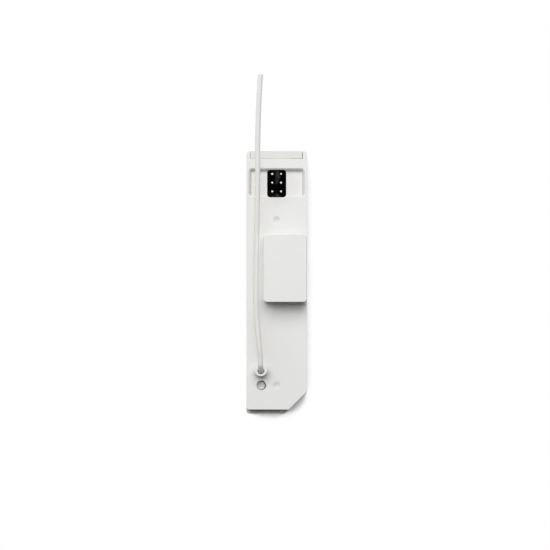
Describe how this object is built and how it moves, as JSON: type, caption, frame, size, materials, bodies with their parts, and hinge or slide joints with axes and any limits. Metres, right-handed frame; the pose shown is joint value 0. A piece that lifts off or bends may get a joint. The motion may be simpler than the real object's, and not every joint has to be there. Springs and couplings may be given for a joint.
{
  "type": "plug-in radio module",
  "caption": "Slim white plug-in radio module with a raised block, a black socket in a shallow pocket, a recessed learn button and a wire aerial that bends out of a boss and runs past the end.",
  "frame": {"origin": "middle of the case outline on its flat rear face, with the aerial left out", "axes": "+X across the case, to the right when the front face is seen with the connector end up; +Y along the case towards the connector end; +Z out of the front face"},
  "size_m": [0.0176, 0.0983, 0.0143],
  "materials": {
    "case_plastic": "fine matt moulding",
    "connector_plastic": "satin",
    "contact_plating": "bright plating",
    "aerial_insulation": "smooth extruded",
    "aerial_copper": "tinned",
    "solder": "satin",
    "button_plastic": "smooth",
    "switch_plastic": "satin",
    "steel": "bright pressed",
    "board_laminate": "solder mask",
    "chip_epoxy": "matt",
    "capacitor_sleeve": "shrunk sleeve",
    "seal_rubber": "matt",
    "chip_ceramic": "satin"
  },
  "bodies": {
    "case": {"rear_case": "case_plastic", "front_cover": "case_plastic", "connector_body": "connector_plastic", "connector_contact_1": "contact_plating", "connector_contact_2": "contact_plating", "connector_contact_3": "contact_plating", "connector_contact_4": "contact_plating", "connector_contact_5": "contact_plating", "connector_contact_6": "contact_plating", "aerial_wire": "aerial_insulation", "aerial_core": "aerial_copper", "aerial_solder_joint": "solder", "switch_base": "switch_plastic", "switch_plate": "steel", "switch_dome": "steel", "switch_terminal_1": "steel", "switch_terminal_2": "steel", "switch_terminal_3": "steel", "switch_terminal_4": "steel", "circuit_board": "board_laminate", "radio_chip": "chip_epoxy", "controller_chip": "chip_epoxy", "crystal": "steel", "storage_capacitor": "capacitor_sleeve", "capacitor_bung": "seal_rubber", "capacitor_lead_1": "solder", "capacitor_lead_2": "solder", "matching_inductor_1": "chip_ceramic", "matching_inductor_2": "chip_ceramic", "chip_capacitor_1": "chip_ceramic", "chip_capacitor_2": "chip_ceramic", "chip_capacitor_3": "chip_ceramic", "chip_capacitor_4": "chip_ceramic", "chip_capacitor_5": "chip_ceramic", "chip_resistor_1": "chip_ceramic", "chip_resistor_2": "chip_ceramic", "chip_resistor_3": "chip_ceramic", "chip_resistor_4": "chip_ceramic"},
    "button": {"learn_button": "button_plastic"}
  },
  "joints": [
    {"name": "learn_button_press", "type": "slide", "parent": "case", "child": "button", "axis": [0, 0, -1], "range_m": [0, 0.00025], "stiffness_N_per_m": 4000, "deforming": ["switch_dome"]}
  ]
}
